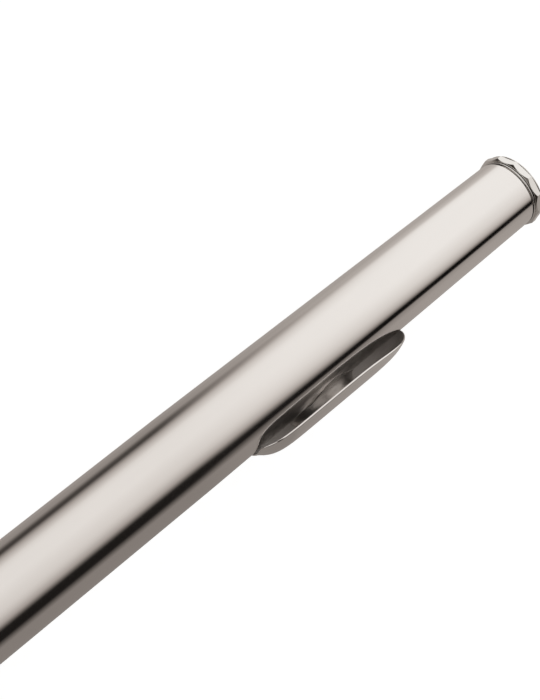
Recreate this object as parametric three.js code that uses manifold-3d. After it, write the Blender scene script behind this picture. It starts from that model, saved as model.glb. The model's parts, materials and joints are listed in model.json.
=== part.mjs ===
// A metal piccolo: tapered head joint with crown, cork assembly, riser and lip plate,
// and a cylindrical body with its tone holes, ribs, rods, keys and pads. Millimetres, +Z up.
// The tube runs along X with the crown at +X. The embouchure hole and the key cups face -Y,
// and the player's side, with the rods, faces +Z. S is the distance from the head tube's
// crown end towards the foot, so a point on the tube axis is at x = -S before centring.
import * as THREE from 'three';
import { mergeVertices } from 'three/addons/utils/BufferGeometryUtils.js';
import Module from 'manifold-3d';

const wasm = await Module();
wasm.setup();

// ---- driving dimensions ----
const CROWN_RADIUS = 5.55;          // head tube outside, at the crown
const TUBE_RADIUS = 6.15;           // body and tenon outside
const WALL = 0.45;
const TAPER_LENGTH = 66;
const TENON_END = 131.8;
const BODY_START = 132.1;
const BODY_END = 310.8;
const FIT = 0.1;                    // running clearance on a radius
const BORE_SIDE = 2;                // a height inside the bore, where hole cutters start
const CLEAR_OF_TUBE = 10;           // a height outside tube and lip plate, where they end

const EMBOUCHURE_S = 43.8;
const HOLE_HALF_LENGTH = 5.0;       // embouchure hole, along the tube
const HOLE_HALF_WIDTH = 4.3;
const RISER_WALL = 1.1;
const PLATE_HALF_ANGLE = THREE.MathUtils.degToRad(64.5);
const PLATE_RADIUS = 8.4;
const PLATE_TIP_RADIUS = 6.3;
const PLATE_CROWN_END = { reach: 15.8, outlinePower: 2.8, dropPower: 6 };
const PLATE_FOOT_END = { reach: 14.5, outlinePower: 7.5, dropPower: 8.2 };
const PLATE_THICKNESS = 0.5;
const SOLDER = 0.08;                // solder film above and below the riser
const PLATE_CLEAR = 0.12;           // least gap between the plate's underside and the tube

const FACETS = 12;
const CROWN_CORNER = 6.07;          // radius across the crown's facet corners
const SPIGOT_LENGTH = 8;
const SCREW_RADIUS = 1.45;
const SCREW_TIP_S = 2.0;
const REFLECTOR_S = EMBOUCHURE_S - 7.5;
const CORK_LENGTH = 9.6;
const CORK_RADIUS = 5.2;

const BARREL_START = 112.5;
const BARREL_END = 134.8;
const BARREL_RADIUS = 7.0;
const BARREL_BEAD = 7.6;
const FOOT_RING_LENGTH = 4.6;
const FOOT_RING_RADIUS = 7.1;

const RIM_HEIGHT = 7.75;            // tone hole rim, from the tube axis
const PAD_GAP = 0.06;               // left between pad and rim when a key is closed
const CHIMNEY_WALL = 0.4;
const CUP_WALL = 0.35;
const CUP_EDGE = RIM_HEIGHT + 0.5;  // underside of a closed cup's wall
const CUP_INSIDE = 1.5;             // hollow of a cup, for its pad
const CUP_TOP = 1.95;
const HINGE_RADIUS = 1.35;
const ROD_RADIUS = 0.75;
const POST_BALL = 1.7;
const ARM_WIDTH = 1.7;
const OPEN_ANGLE = THREE.MathUtils.degToRad(13);

// Hinge axes as [v, w]: v is measured from the tube axis towards the cups, w across it.
const MAIN_AXIS = [5.2, 7.6];
const TRILL_AXIS = [2.3, 8.9];
const BACK_TURN = THREE.MathUtils.degToRad(155);    // tone holes at the back of the tube
const BACK_AXIS = [5.2, -7.6];
const BACK_AXIS_PLACE = [
  BACK_AXIS[0] * Math.cos(BACK_TURN) - BACK_AXIS[1] * Math.sin(BACK_TURN),
  BACK_AXIS[0] * Math.sin(BACK_TURN) + BACK_AXIS[1] * Math.cos(BACK_TURN),
];

const LARGE_HOLE = 3.3;
const SMALL_HOLE = 2.1;
const LARGE_CUP = 4.7;
const SMALL_CUP = 3.3;
const ROUND = 32;                   // facets round the big tubes
const FINE = 16;                    // facets round cups, pads and chimneys
const THIN = 10;                    // facets round rods and hinge tubes

// Tone holes under the main row, from the C key down to the D sharp key.
const MAIN_HOLES = {
  c: 157.3, b_flat: 187.3, a: 197.8, g_upper: 208.8, g_lower: 220.3,
  f_sharp: 232.8, f: 245.8, e: 259.8, d: 274.8, d_sharp: 290.8,
};
const TRILL_HOLES = { d_sharp_trill: 138.8, d_trill: 146.3 };
const THUMB_HOLE = 177.8;
const G_SHARP_HOLE = 220.3;
const RIB_HEIGHT = 0.65;
const FRONT_RIB = [51, 80];         // degrees round the tube from the cups' side
const BACK_RIB = [90, 109];
const MAIN_POSTS = [152.2, 229.0, 283.4, 298.2];
const TRILL_POSTS = [136.2, 271.6];
const THUMB_POSTS = [171.8, 198.2];
const G_SHARP_POSTS = [213.2, 228.0];
const KEY_GAP = 0.1;                // between a hinge tube's end and the post or key beside it

// ---- materials ----
const metal = (color, roughness) => new THREE.MeshStandardMaterial({ color, roughness, metalness: 1 });
const satinSilver = metal(0xc9c4be, 0.38);
const polishedSilver = metal(0xd9d7d3, 0.14);
const steel = metal(0x9a9a9c, 0.3);
const cork = new THREE.MeshStandardMaterial({ color: 0xb48a5a, roughness: 0.9, metalness: 0 });
const padSkin = new THREE.MeshStandardMaterial({ color: 0xe2c48e, roughness: 0.6, metalness: 0 });

// ---- solids ----
function signedVolume(position, index) {
  const a = new THREE.Vector3();
  const b = new THREE.Vector3();
  const c = new THREE.Vector3();
  let sum = 0;
  for (let i = 0; i < index.length; i += 3) {
    a.fromBufferAttribute(position, index[i]);
    b.fromBufferAttribute(position, index[i + 1]);
    c.fromBufferAttribute(position, index[i + 2]);
    sum += a.dot(b.cross(c));
  }
  return sum;
}

// A closed geometry as a manifold solid, with its faces pointing out.
function solid(geometry) {
  const bare = new THREE.BufferGeometry();
  bare.setAttribute('position', geometry.getAttribute('position').clone());
  if (geometry.index) bare.setIndex(geometry.index.clone());
  const merged = mergeVertices(bare, 1e-4);
  const position = merged.getAttribute('position');
  const triangles = [];
  for (let i = 0; i < merged.index.count; i += 3) {
    const [a, b, c] = [0, 1, 2].map((k) => merged.index.getX(i + k));
    if (a !== b && b !== c && c !== a) triangles.push(a, b, c);
  }
  if (signedVolume(position, triangles) < 0) triangles.reverse();
  return new wasm.Manifold(new wasm.Mesh({
    numProp: 3,
    vertProperties: new Float32Array(position.array),
    triVerts: new Uint32Array(triangles),
  }));
}

// A profile of [s, radius] points turned round the tube axis.
function turned(profile, segments = ROUND) {
  const points = profile.map(([s, r]) => new THREE.Vector2(r, -s));
  return solid(new THREE.LatheGeometry(points, segments).rotateZ(-Math.PI / 2));
}

function closed(profile) {
  return [...profile, profile[0]];
}

// A ring from S start to end between two radii.
function ring(start, end, inner, outer, segments = ROUND) {
  return turned(closed([[start, inner], [end, inner], [end, outer], [start, outer]]), segments);
}

function rod(start, end, radius, segments = THIN) {
  return turned([[start, 0], [start, radius], [end, radius], [end, 0]], segments);
}

// A round bar parallel to the tube, with its centre at [v, w].
function bar(start, end, radius, [v, w], segments = THIN) {
  return rod(start, end, radius, segments).translate([0, -v, w]);
}

// A profile of [radius, v] points turned round a line across the tube at S.
function turnedAcross(s, profile, segments = FINE) {
  const points = profile.map(([r, v]) => new THREE.Vector2(r, v));
  const geometry = new THREE.LatheGeometry(points, segments).rotateX(Math.PI);
  return solid(geometry.translate(-s, 0, 0));
}

// A disc across the tube between two heights.
function plug(s, radius, low, high, segments = FINE) {
  return turnedAcross(s, [[0, low], [radius, low], [radius, high], [0, high]], segments);
}

// An outline of [w, v] points extruded along the tube, centred on S.
function slab(s, width, outline) {
  const shape = new THREE.Shape(outline.map(([w, v]) => new THREE.Vector2(w, v)));
  const geometry = new THREE.ExtrudeGeometry(shape, { depth: width, bevelEnabled: false });
  const toTube = new THREE.Matrix4().set(
    0, 0, 1, -s - width / 2,
    0, -1, 0, 0,
    1, 0, 0, 0,
    0, 0, 0, 1,
  );
  return solid(geometry.applyMatrix4(toTube));
}

// An ellipse lying across the tube, as a solid between two heights.
function oval(s, halfLength, halfWidth, low, high) {
  const geometry = new THREE.CylinderGeometry(1, 1, high - low, 40);
  geometry.scale(halfLength, 1, halfWidth).translate(-s, -(low + high) / 2, 0);
  return solid(geometry);
}

function turnRound(shape, angle) {
  return shape.rotate([-THREE.MathUtils.radToDeg(angle), 0, 0]);
}

function turnAbout(shape, [v, w], angle) {
  const degrees = THREE.MathUtils.radToDeg(angle);
  return shape.translate([0, v, -w]).rotate([degrees, 0, 0]).translate([0, -v, w]);
}

// ---- the group ----
const piccolo = new THREE.Group();

function addPiece(name, shape, material) {
  const raw = shape.getMesh();
  const geometry = new THREE.BufferGeometry();
  geometry.setAttribute('position', new THREE.BufferAttribute(new Float32Array(raw.vertProperties), 3));
  geometry.setIndex(new THREE.BufferAttribute(new Uint32Array(raw.triVerts), 1));
  const mesh = new THREE.Mesh(geometry, material.clone());
  mesh.name = name;
  piccolo.add(mesh);
}

// ---- head joint ----
function headRadius(s) {
  return CROWN_RADIUS + (TUBE_RADIUS - CROWN_RADIUS) * Math.min(s / TAPER_LENGTH, 1);
}

function embouchureHole() {
  return oval(EMBOUCHURE_S, HOLE_HALF_LENGTH, HOLE_HALF_WIDTH, BORE_SIDE, CLEAR_OF_TUBE);
}

function headTube() {
  const stations = [0, EMBOUCHURE_S, TAPER_LENGTH, TENON_END];
  const outside = stations.map((s) => [s, headRadius(s)]);
  const inside = stations.map((s) => [s, headRadius(s) - WALL]).reverse();
  return turned(closed([...outside, ...inside])).subtract(embouchureHole());
}

function plateRadius(along) {
  const { reach, dropPower } = along > 0 ? PLATE_CROWN_END : PLATE_FOOT_END;
  const drop = Math.pow(Math.abs(along / reach), dropPower);
  return PLATE_RADIUS - (PLATE_RADIUS - PLATE_TIP_RADIUS) * drop;
}

// One skin of the lip plate: rings of points from its middle out to its edge.
function plateSkin(rings, spokes, thickness) {
  const points = [];
  for (let i = 0; i <= rings; i += 1) {
    for (let j = 0; j < (i ? spokes : 1); j += 1) {
      const t = (2 * Math.PI * j) / spokes;
      const [c, s] = [Math.cos(t), Math.sin(t)];
      const { reach, outlinePower: power } = c > 0 ? PLATE_CROWN_END : PLATE_FOOT_END;
      const outline = Math.pow(Math.abs(c) ** power + Math.abs(s) ** power, -1 / power);
      const along = (reach * c * outline * i) / rings;
      const angle = (PLATE_HALF_ANGLE * s * outline * i) / rings;
      const least = headRadius(EMBOUCHURE_S - along) + PLATE_CLEAR;
      const inner = Math.max(plateRadius(along) - PLATE_THICKNESS, least);
      const radius = inner + thickness;
      points.push(along - EMBOUCHURE_S, -radius * Math.cos(angle), radius * Math.sin(angle));
    }
  }
  return points;
}

function skinFaces(rings, spokes, first, flip) {
  const faces = [];
  const at = (i, j) => first + (i ? 1 + (i - 1) * spokes + (j % spokes) : 0);
  const add = (a, b, c) => faces.push(...(flip ? [a, c, b] : [a, b, c]));
  for (let j = 0; j < spokes; j += 1) {
    add(at(0, 0), at(1, j), at(1, j + 1));
    for (let i = 1; i < rings; i += 1) {
      add(at(i, j), at(i + 1, j), at(i + 1, j + 1));
      add(at(i, j), at(i + 1, j + 1), at(i, j + 1));
    }
  }
  return faces;
}

function lipPlate() {
  const rings = 5;
  const spokes = 32;
  const skin = 1 + rings * spokes;
  const edge = skin - spokes;
  const faces = [...skinFaces(rings, spokes, 0, false), ...skinFaces(rings, spokes, skin, true)];
  for (let j = 0; j < spokes; j += 1) {
    const [a, b] = [edge + j, edge + ((j + 1) % spokes)];
    faces.push(a, skin + a, skin + b, a, skin + b, b);
  }
  const geometry = new THREE.BufferGeometry();
  const points = [...plateSkin(rings, spokes, PLATE_THICKNESS), ...plateSkin(rings, spokes, 0)];
  geometry.setAttribute('position', new THREE.Float32BufferAttribute(points, 3));
  geometry.setIndex(faces);
  return solid(geometry).subtract(embouchureHole());
}

// The wall between tube and lip plate, cut to both of their curves.
function riser() {
  const [halfLength, halfWidth] = [HOLE_HALF_LENGTH + RISER_WALL, HOLE_HALF_WIDTH + RISER_WALL];
  const outer = oval(EMBOUCHURE_S, halfLength, halfWidth, BORE_SIDE, CLEAR_OF_TUBE);
  const reach = halfLength + 1;
  const [from, to] = [EMBOUCHURE_S - reach, EMBOUCHURE_S + reach];
  const tube = turned([from, to].flatMap((s, i) => {
    const point = [s, headRadius(s) + SOLDER];
    return i ? [point, [s, 0]] : [[s, 0], point];
  }));
  const underPlate = rod(from, to, PLATE_RADIUS - PLATE_THICKNESS - SOLDER, ROUND);
  return outer.subtract(embouchureHole()).intersect(underPlate).subtract(tube);
}

// The crown: spigot with a blind tapped hole, bead, twelve facets, rim and shallow dome.
function crown() {
  const profile = [
    [-0.3, 0], [-0.3, SCREW_RADIUS + 0.15], [SPIGOT_LENGTH, SCREW_RADIUS + 0.15],
    [SPIGOT_LENGTH, CROWN_RADIUS - WALL - FIT], [-0.08, CROWN_RADIUS - WALL - FIT],
    [-0.08, 5.48], [-0.2, 5.62], [-0.45, 5.62], [-0.6, 5.48],
    [-0.68, 5.58], [-1.46, 6.3], [-1.5, 5.75], [-1.84, 5.65], [-2.2, 5.2],
    [-2.7, 3.8], [-2.95, 2.0], [-3.0, 0],
  ];
  const flats = new THREE.CylinderGeometry(CROWN_CORNER, CROWN_CORNER, 24, FACETS);
  return turned(profile, 3 * FACETS).intersect(solid(flats.rotateZ(-Math.PI / 2)));
}

function corkScrew() {
  return turned([
    [REFLECTOR_S, 0], [REFLECTOR_S, CORK_RADIUS], [REFLECTOR_S - 0.6, CORK_RADIUS],
    [REFLECTOR_S - 0.6, SCREW_RADIUS], [SCREW_TIP_S, SCREW_RADIUS], [SCREW_TIP_S, 0],
  ], 20);
}

function addHeadJoint() {
  const corkFoot = REFLECTOR_S - 0.7;
  const corkTop = corkFoot - CORK_LENGTH;
  addPiece('head_tube', headTube(), satinSilver);
  addPiece('riser', riser(), satinSilver);
  addPiece('lip_plate', lipPlate(), polishedSilver);
  addPiece('crown', crown(), polishedSilver);
  addPiece('cork_screw', corkScrew(), polishedSilver);
  addPiece('head_cork', ring(corkTop, corkFoot, SCREW_RADIUS + FIT, CORK_RADIUS, 20), cork);
  addPiece('cork_nut', ring(corkTop - 1.2, corkTop - 0.1, SCREW_RADIUS + FIT, 4.6, 20), polishedSilver);
}

// ---- body ----
function chimney(s, hole) {
  return plug(s, hole + CHIMNEY_WALL, TUBE_RADIUS - 2, RIM_HEIGHT);
}

function holeCutter(s, hole) {
  return plug(s, hole, BORE_SIDE, CLEAR_OF_TUBE);
}

function bodyTube() {
  const small = [MAIN_HOLES.c, ...Object.values(TRILL_HOLES)].map((s) => [s, SMALL_HOLE]);
  const large = Object.values(MAIN_HOLES).slice(1).map((s) => [s, LARGE_HOLE]);
  const front = [...small, ...large];
  const back = [THUMB_HOLE, G_SHARP_HOLE];
  let shape = rod(BODY_START, BODY_END, TUBE_RADIUS, ROUND);
  for (const [s, hole] of front) shape = shape.add(chimney(s, hole));
  for (const s of back) shape = shape.add(turnRound(chimney(s, LARGE_HOLE), BACK_TURN));
  shape = shape.subtract(rod(BODY_START - 1, BODY_END + 1, TUBE_RADIUS - WALL, ROUND));
  for (const [s, hole] of front) shape = shape.subtract(holeCutter(s, hole));
  for (const s of back) shape = shape.subtract(turnRound(holeCutter(s, LARGE_HOLE), BACK_TURN));
  return shape;
}

// The socket that the head joint's tenon slides in, with a bead at each end.
function barrel() {
  const inner = TUBE_RADIUS + FIT;
  return turned(closed([
    [BARREL_START, inner], [BARREL_END, inner], [BARREL_END, BARREL_RADIUS],
    [BARREL_START + 2.6, BARREL_RADIUS], [BARREL_START + 2.1, BARREL_BEAD],
    [BARREL_START + 0.5, BARREL_BEAD], [BARREL_START, BARREL_RADIUS],
  ]));
}

function footRing() {
  const start = BODY_END - FOOT_RING_LENGTH;
  return turned(closed([
    [start, TUBE_RADIUS + 0.05], [BODY_END, TUBE_RADIUS + 0.05], [BODY_END, FOOT_RING_RADIUS],
    [BODY_END - 1.5, FOOT_RING_RADIUS], [BODY_END - 1.9, 6.7], [start, 6.7],
  ]));
}

// A post from its rib up to a hinge axis, with its ball.
function post(s, [v, w]) {
  const foot = TUBE_RADIUS + RIB_HEIGHT / 2;
  const reach = Math.hypot(v, w);
  const stem = new THREE.CylinderGeometry(0.8, 1.2, reach - foot, 6).translate(0, (reach + foot) / 2, 0);
  const ball = new THREE.SphereGeometry(POST_BALL, 8, 5).rotateZ(Math.PI / 2).translate(0, reach, 0);
  const turn = THREE.MathUtils.radToDeg(Math.atan2(w, v));
  return solid(stem).add(solid(ball)).rotate([180 - turn, 0, 0]).translate([-s, 0, 0]);
}

// A strap lying on the tube between two angles, with the posts that stand on it.
function rib(start, end, [fromDegrees, toDegrees], posts) {
  const edge = (degrees) => {
    const angle = THREE.MathUtils.degToRad(degrees);
    return [2 * CLEAR_OF_TUBE * Math.sin(angle), 2 * CLEAR_OF_TUBE * Math.cos(angle)];
  };
  const wedge = slab((start + end) / 2, end - start + 2, [[0, 0], edge(fromDegrees), edge(toDegrees)]);
  let shape = ring(start, end, TUBE_RADIUS + 0.05, TUBE_RADIUS + RIB_HEIGHT).intersect(wedge);
  for (const [s, axis] of posts) shape = shape.add(post(s, axis));
  for (const [s, axis] of posts) shape = shape.subtract(bar(s - 3, s + 3, ROD_RADIUS + FIT, axis));
  return shape;
}

function addBody() {
  addPiece('body_tube', bodyTube(), satinSilver);
  addPiece('barrel', barrel(), polishedSilver);
  addPiece('foot_ring', footRing(), polishedSilver);
  const mainPosts = MAIN_POSTS.map((s) => [s, MAIN_AXIS]);
  const trillPosts = TRILL_POSTS.map((s) => [s, TRILL_AXIS]);
  const thumbPosts = THUMB_POSTS.map((s) => [s, BACK_AXIS_PLACE]);
  const gSharpPosts = G_SHARP_POSTS.map((s) => [s, BACK_AXIS_PLACE]);
  const mainRib = rib(BARREL_END + 0.4, 300, FRONT_RIB, [...mainPosts, ...trillPosts]);
  addPiece('main_rib', mainRib, polishedSilver);
  addPiece('thumb_rib', rib(169.5, 200.5, BACK_RIB, thumbPosts), polishedSilver);
  addPiece('g_sharp_rib', rib(211, 230.2, BACK_RIB, gSharpPosts), polishedSilver);
}

function addRods() {
  const [first, middle, last, foot] = MAIN_POSTS;
  const over = 1.4;
  const spans = {
    left_hand_rod: [first - over, middle - 0.1, MAIN_AXIS],
    right_hand_rod: [middle + 0.1, last - 0.1, MAIN_AXIS],
    d_sharp_rod: [last + 0.1, foot + over, MAIN_AXIS],
    thumb_rod: [THUMB_POSTS[0] - over, THUMB_POSTS[1] + over, BACK_AXIS_PLACE],
    g_sharp_rod: [G_SHARP_POSTS[0] - over, G_SHARP_POSTS[1] + over, BACK_AXIS_PLACE],
  };
  for (const [name, [start, end, axis]] of Object.entries(spans)) {
    addPiece(name, bar(start, end, ROD_RADIUS, axis), steel);
  }
}

// ---- keys ----
// Each key is shaped closed, with its pad on the rim, and then turned to how it stands at rest.
function cup(s, radius) {
  return turnedAcross(s, [
    [0, CUP_EDGE + CUP_INSIDE], [radius - CUP_WALL, CUP_EDGE + CUP_INSIDE], [radius - CUP_WALL, CUP_EDGE],
    [radius, CUP_EDGE], [radius, CUP_EDGE + CUP_TOP - 0.4], [radius - 0.5, CUP_EDGE + CUP_TOP],
    [0, CUP_EDGE + CUP_TOP + 0.2],
  ]);
}

function pad(s, radius) {
  return plug(s, radius - CUP_WALL - FIT, RIM_HEIGHT + PAD_GAP, CUP_EDGE + CUP_INSIDE - 0.1);
}

// The arm that rises from a hinge tube and runs onto the top of a cup.
function arm(s, [v, w]) {
  const side = Math.sign(w);
  const a = Math.abs(w);
  return slab(s, ARM_WIDTH, [
    [a + 0.9, v], [a + 0.7, 8.4], [a - 1, 10.4], [5, 11], [1.2, 11], [1.2, 10],
    [4.4, 10], [a - 1.8, 9], [a - 0.9, 7.8], [a - 0.9, v],
  ].map(([across, up]) => [side * across, up]));
}

function hingeTube(start, end, axis) {
  return bar(start, end, HINGE_RADIUS, axis);
}

function boreOut(shape, start, end, axis) {
  return shape.subtract(bar(start - 1, end + 1, ROD_RADIUS + FIT, axis));
}

// A key with its cups and pads on one hinge tube; place puts both where they stand at rest.
function addKey(name, { cups, radius, span, axis, extra = [], place, bored = true }) {
  let shape = extra.reduce((whole, piece) => whole.add(piece), hingeTube(...span, axis));
  for (const s of cups) shape = shape.add(cup(s, radius)).add(arm(s, axis));
  if (bored) shape = boreOut(shape, ...span, axis);
  addPiece(`${name}_key`, place(shape), polishedSilver);
  cups.forEach((s, i) => {
    const label = cups.length > 1 ? `${name}_pad_${i + 1}` : `${name}_pad`;
    addPiece(label, place(pad(s, radius)), padSkin);
  });
}

const asShaped = (shape) => shape;
const standOpen = (shape) => turnAbout(shape, MAIN_AXIS, -OPEN_ANGLE);
const onBack = (shape) => turnRound(shape, BACK_TURN);
const onBackOpen = (shape) => onBack(turnAbout(shape, BACK_AXIS, OPEN_ANGLE));

function addMainRow() {
  const h = MAIN_HOLES;
  const [first, middle, last] = MAIN_POSTS;
  const ball = POST_BALL + KEY_GAP;
  const rows = [
    ['c', [h.c], SMALL_CUP, [first + ball, 172]],
    ['b_flat', [h.b_flat], LARGE_CUP, [172, 192]],
    ['a', [h.a], LARGE_CUP, [192, 203.3]],
    ['g', [h.g_upper, h.g_lower], LARGE_CUP, [203.3, middle - ball]],
    ['f_sharp', [h.f_sharp], LARGE_CUP, [middle + ball, 239.3]],
    ['f', [h.f], LARGE_CUP, [239.3, 252.8]],
    ['e', [h.e], LARGE_CUP, [252.8, 267.3]],
    ['d', [h.d], LARGE_CUP, [267.3, last - ball]],
  ];
  for (const [name, cups, radius, [start, end]] of rows) {
    const span = [start + KEY_GAP, end - KEY_GAP];
    addKey(name, { cups, radius, span, axis: MAIN_AXIS, place: standOpen });
  }
}

// The little finger's closed-standing key near the foot, with its touch outside the hinge.
function addDSharpKey() {
  const touch = slab(MAIN_HOLES.d_sharp, 8.5, [
    [7.0, 5.8], [8.6, 7.0], [11, 7.6], [15.5, 7.2], [15.5, 6.3], [11.2, 6.6], [9.4, 6.0], [8.4, 5.2],
  ]);
  const [,, upper, lower] = MAIN_POSTS;
  const clear = POST_BALL + 2 * KEY_GAP;
  addKey('d_sharp', {
    cups: [MAIN_HOLES.d_sharp], radius: LARGE_CUP, span: [upper + clear, lower - clear],
    axis: MAIN_AXIS, extra: [touch], place: asShaped,
  });
}

// The trill keys share one axis: the D trill's tube turns on the D sharp trill's long rod.
function trillTouch(s) {
  return slab(s, 4.2, [
    [8.3, 2.3], [8.7, 4.2], [10.2, 5.6], [13.6, 6.2], [13.6, 5.3], [11, 4.7], [9.6, 3.4], [9.7, 2.3],
  ]);
}

function addTrillKeys() {
  const [upper, lower] = TRILL_POSTS;
  const clear = POST_BALL + KEY_GAP;
  const split = 255.6;
  const span = [141.2, split - KEY_GAP];
  const common = { radius: SMALL_CUP, axis: TRILL_AXIS, place: asShaped };
  addKey('d_trill', { ...common, cups: [TRILL_HOLES.d_trill], span, extra: [trillTouch(252.8)] });
  const extra = [
    bar(upper - 1.4, lower + 1.4, ROD_RADIUS, TRILL_AXIS),
    hingeTube(split + KEY_GAP, lower - clear, TRILL_AXIS),
    trillTouch(267.3),
  ];
  const cups = [TRILL_HOLES.d_sharp_trill];
  addKey('d_sharp_trill', { ...common, cups, span: [upper + clear, 141], extra, bored: false });
}

// The thumb's keys at the back of the tube, and the G sharp key below them.
function addBackKeys() {
  const [first, last] = THUMB_POSTS;
  const clear = POST_BALL + 2 * KEY_GAP;
  const split = 185.1;
  const touch = (s) => slab(s, 5.6, [
    [-1.5, 10.1], [5.6, 10.4], [8.6, 9.2], [8.9, 9.9], [6, 11.3], [-1.5, 11.3],
  ]);
  const common = { radius: LARGE_CUP, axis: BACK_AXIS };
  addKey('thumb_b', {
    ...common, cups: [THUMB_HOLE], span: [first + clear, split - KEY_GAP],
    extra: [touch(THUMB_HOLE)], place: onBackOpen,
  });
  addKey('thumb_b_flat', {
    ...common, cups: [], span: [split + KEY_GAP, last - clear],
    extra: [arm(188.2, BACK_AXIS), touch(188.2)], place: onBackOpen,
  });
  const gSharpTouch = turnRound(slab(219.8, 8, [
    [9, -2.3], [11.6, -2], [12.9, 0], [12.6, 7], [11.7, 7], [11.9, 0.6], [11, -0.7], [9, -0.7],
  ]), -BACK_TURN);
  const span = [G_SHARP_POSTS[0] + clear, G_SHARP_POSTS[1] - clear];
  addKey('g_sharp', { ...common, cups: [G_SHARP_HOLE], span, extra: [gSharpTouch], place: onBack });
}

// Stand the finished group on its lowest point, centred over the origin.
function centre() {
  const box = new THREE.Box3();
  for (const mesh of piccolo.children) box.expandByObject(mesh, true);
  piccolo.position.set(
    -(box.min.x + box.max.x) / 2, -(box.min.y + box.max.y) / 2, -box.min.z,
  );
}

addHeadJoint();
addBody();
addRods();
addMainRow();
addDSharpKey();
addTrillKeys();
addBackKeys();
centre();

export default piccolo;
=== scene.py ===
"""A metal piccolo: the surfaces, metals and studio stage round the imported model.

Sizes are in millimetres unless a name says otherwise, and place() turns them into metres.
S runs along the tube from the crown end of the head tube towards the foot, V points from
the tube's axis towards the embouchure hole and the key cups, and W towards the player.
"""

import json
import math

import bmesh
import bpy
import numpy as np
from bpy.props import FloatProperty, FloatVectorProperty, PointerProperty
from mathutils import Matrix, Vector


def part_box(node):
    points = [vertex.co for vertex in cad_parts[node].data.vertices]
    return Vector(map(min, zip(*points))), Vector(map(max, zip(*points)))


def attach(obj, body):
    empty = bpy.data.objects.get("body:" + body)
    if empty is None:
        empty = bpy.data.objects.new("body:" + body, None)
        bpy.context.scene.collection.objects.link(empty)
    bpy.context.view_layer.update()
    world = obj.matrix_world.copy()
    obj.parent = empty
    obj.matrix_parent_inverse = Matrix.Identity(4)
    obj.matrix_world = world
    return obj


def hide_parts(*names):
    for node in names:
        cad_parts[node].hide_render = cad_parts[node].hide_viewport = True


bl_info = {
    "name": "Piccolo",
    "version": (1, 0, 0),
    "blender": (4, 5, 0),
    "location": "3D View > Sidebar > Piccolo",
    "description": "Builds the surfaces, metals and stage of a metal piccolo",
    "category": "Object",
}

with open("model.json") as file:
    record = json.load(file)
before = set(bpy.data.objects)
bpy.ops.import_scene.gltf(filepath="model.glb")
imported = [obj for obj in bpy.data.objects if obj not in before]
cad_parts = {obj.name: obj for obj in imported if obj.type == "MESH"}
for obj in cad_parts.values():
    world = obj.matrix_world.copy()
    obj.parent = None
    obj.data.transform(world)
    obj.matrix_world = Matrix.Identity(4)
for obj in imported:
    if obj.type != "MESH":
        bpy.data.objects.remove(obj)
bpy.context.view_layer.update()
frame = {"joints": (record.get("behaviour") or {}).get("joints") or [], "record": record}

# ---- the frame's own measures ----
MM = 0.001
HEAD_LOW, HEAD_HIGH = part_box("head_tube")
BODY_LOW, BODY_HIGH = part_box("body_tube")
SHOULDER_X = HEAD_HIGH.x
AXIS_Y = (HEAD_LOW.y + HEAD_HIGH.y) / 2
AXIS_Z = (HEAD_LOW.z + HEAD_HIGH.z) / 2
TUBE_RADIUS = (HEAD_HIGH.z - HEAD_LOW.z) / 2 / MM
TENON_END = (SHOULDER_X - HEAD_LOW.x) / MM
BODY_START = (SHOULDER_X - BODY_HIGH.x) / MM
BODY_END = (SHOULDER_X - BODY_LOW.x) / MM
JOINTS = {joint["name"]: joint for joint in frame["joints"]}
BODIES = frame["record"]["behaviour"]["bodies"]
SLOTS = {part["node"]: part["material_slot"] for part in frame["record"]["subparts"]}


def station(node, end):
    """S of a node's crown end (0), middle (0.5) or foot end (1)."""
    low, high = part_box(node)
    return (SHOULDER_X - (high.x + (low.x - high.x) * end)) / MM


def hinge_axis(name):
    """[V, W] of a key's hinge axis, from its joint."""
    x, y, z = JOINTS[f"{name}_key_turn"]["pos_m"]
    return (AXIS_Y - y) / MM, (z - AXIS_Z) / MM


# ---- sizes ----
CROWN_RADIUS = 5.55
WALL = 0.45
TAPER_LENGTH = 66
EMBOUCHURE_S = station("riser", 0.5)
PLATE_CROWN_REACH = EMBOUCHURE_S - station("lip_plate", 0)
PLATE_FOOT_REACH = station("lip_plate", 1) - EMBOUCHURE_S
PLATE_HALF_ANGLE = math.radians(64.5)
PLATE_RADIUS = 8.4
PLATE_TIP_RADIUS = 6.3
PLATE_CROWN_OUTLINE, PLATE_CROWN_DROP = 2.8, 6
PLATE_FOOT_OUTLINE, PLATE_FOOT_DROP = 7.5, 8.2
PLATE_THICKNESS = 0.5
PLATE_CLEAR = 0.12
FACETS = 12
CROWN_CORNER = 6.07
SCREW_RADIUS = 1.45
RIM_HEIGHT = 7.75
CUP_EDGE = 8.25
PAD_GAP = 0.06
CHIMNEY_WALL = 0.4
LARGE_HOLE, SMALL_HOLE = 3.3, 2.1
LARGE_CUP, SMALL_CUP = 4.7, 3.3
CUP_WALL = 0.35
HINGE_RADIUS = 1.35
POST_BALL = 1.7
POST_CLEAR = POST_BALL + 0.2
KEY_GAP = 0.1
ROD_RADIUS = 0.75
BACK_TURN = math.radians(155)
BACK_AXIS = (5.2, -7.6)
MAIN_AXIS = hinge_axis("c")
TRILL_AXIS = hinge_axis("d_trill")
BACK_AXIS_PLACE = hinge_axis("g_sharp")
OPEN_ANGLE = math.radians(JOINTS["c_key_turn"]["range_deg"][1])

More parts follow.
